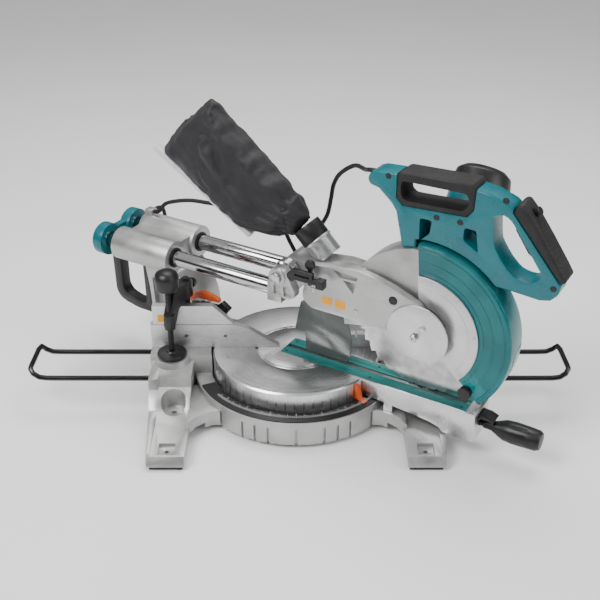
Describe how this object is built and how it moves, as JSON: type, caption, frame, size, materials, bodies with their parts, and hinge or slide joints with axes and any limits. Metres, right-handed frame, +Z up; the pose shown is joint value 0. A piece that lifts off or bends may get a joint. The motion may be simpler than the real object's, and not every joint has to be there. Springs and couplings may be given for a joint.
{
  "type": "sliding compound mitre saw",
  "caption": "Bench-top sliding mitre saw with its head locked down, a rotating table with a mitre scale, two slide rails, fences, a hold-down, a dust bag and wire work supports.",
  "frame": {"origin": "on the floor under the middle of the saw's bounding box, the mains cord left out", "axes": "+X to the operator's right along the fence, +Y away from the operator, +Z up"},
  "size_m": [0.9726, 0.5855, 0.538],
  "materials": {
    "cast_metal": "satin",
    "machined_aluminium": "satin",
    "bright_steel": "polished",
    "black_plastic": "matte",
    "black_rubber": "matte",
    "teal_plastic": "gloss",
    "kerf_teal": "matte",
    "clear_teal": "gloss",
    "orange_red": "gloss",
    "smoked_plastic": "gloss",
    "black_fabric": "matte",
    "pale_rail": "satin"
  },
  "bodies": {
    "base": {"base_casting": "cast_metal", "foot_pad_front_left": "black_rubber", "foot_pad_front_right": "black_rubber", "mitre_scale": "black_plastic", "fence_left": "machined_aluminium", "fence_right": "machined_aluminium", "vise_post": "black_plastic", "mitre_pivot_bolt": "bright_steel"},
    "wire_left": {"wire_holder_left": "black_plastic"},
    "wire_right": {"wire_holder_right": "black_plastic"},
    "upper_fence_left": {"sub_fence_left": "machined_aluminium"},
    "upper_fence_right": {"sub_fence_right": "machined_aluminium"},
    "vise": {"vise_arm": "black_plastic"},
    "vise_knob": {"vise_clamp_knob": "black_plastic"},
    "vise_foot": {"vise_plate": "black_plastic"},
    "vise_spindle": {"vise_screw": "black_plastic"},
    "table": {"turntable": "machined_aluminium", "kerf_board_left": "kerf_teal", "kerf_board_right": "kerf_teal", "mitre_pointer": "orange_red", "bevel_shaft": "bright_steel", "cord_coil": "black_rubber", "mains_plug": "black_rubber", "cord_mains": "black_rubber"},
    "grip": {"mitre_grip": "black_plastic"},
    "lock_lever": {"mitre_lock_lever": "black_plastic"},
    "column": {"bevel_arm": "cast_metal", "rear_grip": "black_plastic", "cord_slide": "black_rubber"},
    "stop_lever": {"bevel_stop_lever": "orange_red"},
    "bevel_lock": {"bevel_lock_knob": "black_plastic"},
    "carriage": {"pole_left": "bright_steel", "pole_right": "bright_steel", "pole_end_cap": "teal_plastic", "pivot_bracket": "cast_metal", "pivot_shaft": "bright_steel", "return_spring": "bright_steel", "cord_head": "black_rubber"},
    "depth_stop": {"stopper_arm": "black_plastic"},
    "head": {"head_casting": "cast_metal", "gear_housing": "cast_metal", "motor_housing": "teal_plastic", "motor_cap": "black_plastic", "handle_body": "teal_plastic", "top_grip": "black_rubber", "d_grip": "black_rubber", "centre_cover": "machined_aluminium", "rear_plate": "smoked_plastic", "dust_nozzle": "cast_metal", "bag_collar": "black_plastic", "dust_bag": "black_fabric", "bag_rail": "pale_rail"},
    "depth_screw": {"wing_screw": "black_plastic"},
    "trigger": {"trigger": "black_plastic"},
    "lock_off": {"lock_off_button": "black_plastic"},
    "guard": {"lower_guard": "clear_teal", "guard_ring": "machined_aluminium"},
    "roller": {"guard_roller": "black_plastic"},
    "blade": {"saw_blade": "bright_steel", "blade_spindle": "bright_steel"}
  },
  "joints": [
    {"name": "mitre", "type": "hinge", "parent": "base", "child": "table", "pos_m": [-0.0055, -0.00575, 0.09], "axis": [0, 0, 1], "range_deg": [-106, 1]},
    {"name": "bevel", "type": "hinge", "parent": "table", "child": "column", "pos_m": [-0.0055, -0.00575, 0.09], "axis": [-0.8572, 0.515, 0], "range_deg": [0, 28], "deforming": ["cord_mains"]},
    {"name": "head_slide", "type": "slide", "parent": "column", "child": "carriage", "axis": [0.8572, -0.515, 0], "range_m": [-0.2, 0.018], "deforming": ["cord_slide"]},
    {"name": "chop", "type": "hinge", "parent": "carriage", "child": "head", "pos_m": [-0.0055, -0.00575, 0.265], "axis": [-0.515, -0.8572, 0], "range_deg": [0, 26], "stiffness_Nm_per_rad": 8, "springref_deg": 57.3, "deforming": ["cord_head"]},
    {"name": "guard_turn", "type": "hinge", "parent": "head", "child": "guard", "pos_m": [0.21222, -0.13657, 0.217], "axis": [-0.515, -0.8572, 0], "range_deg": [-78.5, 0]},
    {"name": "roller_turn", "type": "hinge", "parent": "guard", "child": "roller", "pos_m": [0.27099, -0.21155, 0.13], "axis": [0.515, 0.8572, 0], "continuous": true},
    {"name": "blade_turn", "type": "hinge", "parent": "head", "child": "blade", "pos_m": [0.21222, -0.13657, 0.217], "axis": [0.515, 0.8572, 0], "continuous": true},
    {"name": "trigger_pull", "type": "hinge", "parent": "head", "child": "trigger", "pos_m": [0.32673, -0.20538, 0.44], "axis": [-0.515, -0.8572, 0], "range_deg": [0, 5], "stiffness_Nm_per_rad": 0.5, "springref_deg": -2.86},
    {"name": "lock_off_push", "type": "slide", "parent": "head", "child": "lock_off", "axis": [-0.6592, 0.3961, -0.6392], "range_m": [0, 0.0035], "stiffness_N_per_m": 800, "springref_m": -0.002},
    {"name": "depth_screw_turn", "type": "hinge", "parent": "head", "child": "depth_screw", "pos_m": [0.01931, -0.08483, 0.268], "axis": [0.515, 0.8572, 0], "range_deg": [0, 180]},
    {"name": "depth_stop_swing", "type": "hinge", "parent": "carriage", "child": "depth_stop", "pos_m": [-0.01224, -0.08104, 0.279], "axis": [-0.515, -0.8572, 0], "range_deg": [0, 40]},
    {"name": "grip_turn", "type": "hinge", "parent": "table", "child": "grip", "pos_m": [0.30651, -0.19323, 0.058], "axis": [0.8572, -0.515, 0], "range_deg": [0, 180]},
    {"name": "lock_lever_press", "type": "hinge", "parent": "table", "child": "lock_lever", "pos_m": [0.29879, -0.18859, 0.077], "axis": [0.515, 0.8572, 0], "range_deg": [0, 3], "stiffness_Nm_per_rad": 5, "springref_deg": -5.73},
    {"name": "stop_lever_lift", "type": "hinge", "parent": "column", "child": "stop_lever", "pos_m": [-0.21297, 0.06058, 0.162], "axis": [-0.515, -0.8572, 0], "range_deg": [0, 18]},
    {"name": "bevel_lock_turn", "type": "hinge", "parent": "column", "child": "bevel_lock", "pos_m": [-0.18588, 0.06296, 0.139], "axis": [0.8572, -0.515, 0], "range_deg": [0, 20]},
    {"name": "vise_height", "type": "slide", "parent": "base", "child": "vise", "axis": [0, 0, 1], "range_m": [0, 0.03]},
    {"name": "vise_knob_turn", "type": "hinge", "parent": "vise", "child": "vise_knob", "pos_m": [-0.2003, 0.03106, 0.202], "axis": [0.4338, 0.901, 0], "continuous": true},
    {"name": "vise_foot_slide", "type": "slide", "parent": "vise", "child": "vise_foot", "axis": [0, 0, 1], "range_m": [0, 0.025]},
    {"name": "vise_screw_turn", "type": "hinge", "parent": "vise_foot", "child": "vise_spindle", "pos_m": [-0.2315, -0.03375, 0.15], "axis": [0, 0, 1], "range_deg": [0, 3600]},
    {"name": "wire_left_slide", "type": "slide", "parent": "base", "child": "wire_left", "axis": [-1, 0, 0], "range_m": [0, 0.02]},
    {"name": "wire_right_slide", "type": "slide", "parent": "base", "child": "wire_right", "axis": [1, 0, 0], "range_m": [0, 0.02]},
    {"name": "upper_fence_left_slide", "type": "slide", "parent": "base", "child": "upper_fence_left", "axis": [-1, 0, 0], "range_m": [0, 0.06]},
    {"name": "upper_fence_right_slide", "type": "slide", "parent": "base", "child": "upper_fence_right", "axis": [1, 0, 0], "range_m": [0, 0.06]}
  ],
  "couplings": [
    {"joint": "guard_turn", "follows": "chop", "ratio": -3},
    {"joint": "vise_screw_turn", "follows": "vise_foot_slide", "rad_per_m": 2513.3}
  ]
}
